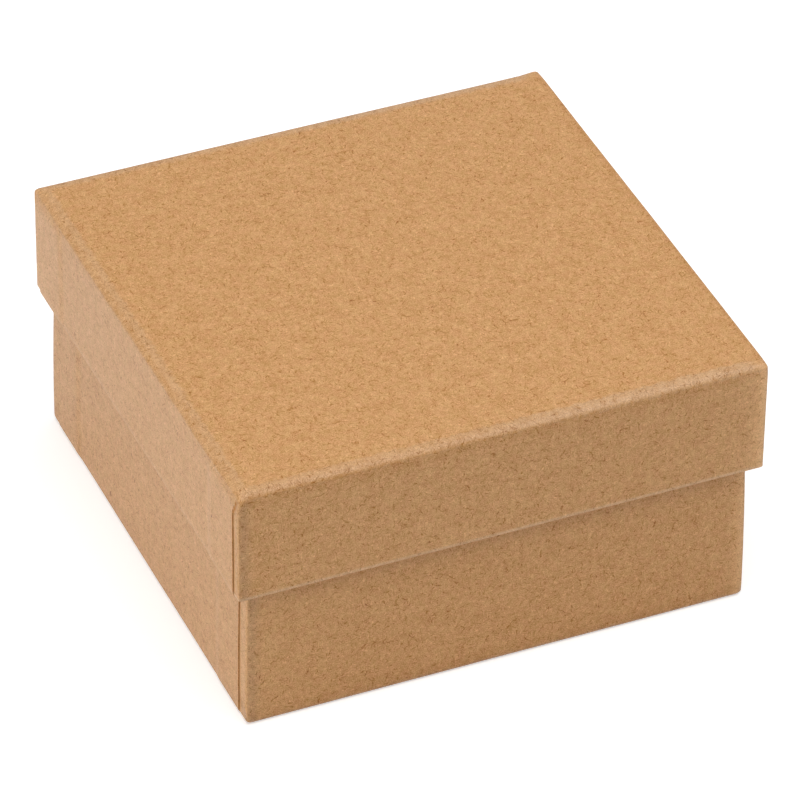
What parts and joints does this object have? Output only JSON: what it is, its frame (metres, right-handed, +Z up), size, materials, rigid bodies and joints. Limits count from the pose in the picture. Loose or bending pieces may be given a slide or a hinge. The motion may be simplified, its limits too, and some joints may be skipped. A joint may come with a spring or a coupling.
{
  "type": "lidded paper covered gift box",
  "caption": "Low square rigid gift box of board covered in brown kraft paper, with a shallow lid that slides down over the base and lifts straight off.",
  "frame": {"origin": "centre of the box's underside, on the surface it stands on", "axes": "+Z up, the way the lid lifts off; -Y towards the front wall and -X towards the left wall; the ears of the wrap lie on the left and right walls"},
  "size_m": [0.09, 0.089, 0.047],
  "materials": {
    "kraft_paper": "matte",
    "board": "matte",
    "stay_tape": "matte"
  },
  "bodies": {
    "base": {"base_board": "board", "base_wrap": "kraft_paper", "base_stay_front_left": "stay_tape", "base_stay_front_right": "stay_tape", "base_stay_back_left": "stay_tape", "base_stay_back_right": "stay_tape"},
    "lid": {"lid_board": "board", "lid_wrap": "kraft_paper", "lid_stay_front_left": "stay_tape", "lid_stay_front_right": "stay_tape", "lid_stay_back_left": "stay_tape", "lid_stay_back_right": "stay_tape"}
  },
  "joints": [
    {"name": "lid_lift", "type": "slide", "parent": "base", "child": "lid", "axis": [0, 0, 1], "range_m": [0, 0.06]}
  ]
}
